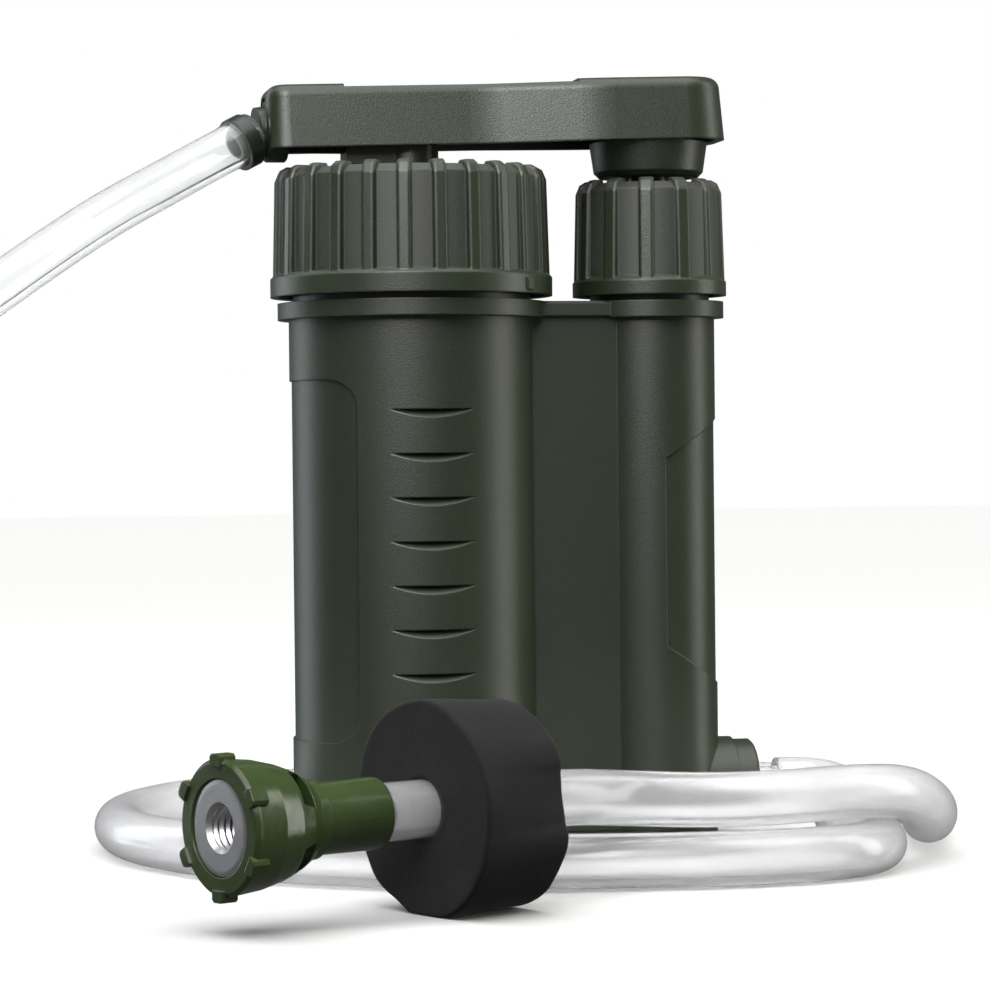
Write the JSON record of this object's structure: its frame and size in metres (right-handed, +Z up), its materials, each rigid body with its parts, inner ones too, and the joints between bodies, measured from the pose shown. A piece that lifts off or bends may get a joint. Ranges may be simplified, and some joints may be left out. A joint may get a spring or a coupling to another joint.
{
  "type": "pump water filter",
  "caption": "Hand-pump water filter: twin-barrel housing, ribbed screw caps, bar handle on a piston rod, coiled intake hose with foam float and weighted strainer, outlet hose.",
  "frame": {"origin": "underside of the base, midway between the filter barrel's and the pump barrel's axes", "axes": "+Z up along both barrels; +X from the filter barrel to the pump barrel; -Y is the front"},
  "size_m": [0.3116, 0.2184, 0.1539],
  "materials": {
    "olive_shell": "moulded olive-green ABS, fine satin texture",
    "olive_cap": "moulded olive-green ABS, satin",
    "dark_olive": "moulded dark olive ABS",
    "green_strainer": "moulded green polypropylene, glossy",
    "clear_hose": "clear flexible tube",
    "milky_hose": "milky flexible tube",
    "foam_black": "hand-cut closed-cell black foam",
    "foam_white": "open-cell sponge",
    "seal_rubber": "moulded black rubber",
    "white_plastic": "moulded white ABS",
    "rod_plastic": "turned dark acetal",
    "steel": "turned stainless steel",
    "resin": "cast potting resin",
    "membrane": "hollow-fibre membrane",
    "carbon": "pressed activated carbon"
  },
  "bodies": {
    "filter_body": {"base_cover": "olive_shell", "cap_gasket": "seal_rubber", "carbon_block": "carbon", "cartridge_cap": "white_plastic", "cartridge_seal": "seal_rubber", "cartridge_shell": "white_plastic", "elbow_seal": "seal_rubber", "gland_gasket": "seal_rubber", "hose_clip": "dark_olive", "housing": "olive_shell", "inlet_collar": "olive_shell", "inlet_nipple": "clear_hose", "inlet_valve_seat": "white_plastic", "intake_hose": "milky_hose", "membrane_bundle": "membrane", "outlet_elbow": "dark_olive", "outlet_hose": "clear_hose", "outlet_hose_coil": "clear_hose", "outlet_valve_cage": "white_plastic", "outlet_valve_seat": "white_plastic", "potting_disc": "resin", "pump_liner": "white_plastic", "rod_guide": "white_plastic", "sponge_pad": "foam_white", "strainer_bell": "green_strainer", "strainer_screen": "white_plastic", "strainer_stem": "green_strainer", "strainer_weight": "steel"},
    "big_cap": {"big_cap": "olive_cap"},
    "gland_nut": {"gland_nut": "olive_cap", "rod_wiper": "seal_rubber"},
    "pump_handle": {"handle": "olive_cap", "piston_rod": "rod_plastic", "piston": "white_plastic", "piston_seal": "seal_rubber", "handle_screw": "steel", "screw_cover": "olive_cap"},
    "inlet_ball": {"inlet_valve_ball": "steel"},
    "outlet_ball": {"outlet_valve_ball": "steel"},
    "float": {"foam_float": "foam_black"}
  },
  "joints": [
    {"name": "pump_stroke", "type": "slide", "parent": "filter_body", "child": "pump_handle", "axis": [0, 0, 1], "range_m": [0, 0.055]},
    {"name": "big_cap_turn", "type": "hinge", "parent": "filter_body", "child": "big_cap", "pos_m": [-0.0245, 0, 0.12], "axis": [0, 0, 1], "range_deg": [0, 90]},
    {"name": "gland_nut_turn", "type": "hinge", "parent": "filter_body", "child": "gland_nut", "pos_m": [0.0245, 0, 0.12], "axis": [0, 0, 1], "range_deg": [0, 90]},
    {"name": "inlet_valve_lift", "type": "slide", "parent": "filter_body", "child": "inlet_ball", "axis": [0, 0, 1], "range_m": [0, 0.0015]},
    {"name": "outlet_valve_lift", "type": "slide", "parent": "filter_body", "child": "outlet_ball", "axis": [0, 0, 1], "range_m": [0, 0.0015]},
    {"name": "float_slide", "type": "slide", "parent": "filter_body", "child": "float", "axis": [-0.8879, -0.46, -0.008], "range_m": [0, 0.009]}
  ]
}
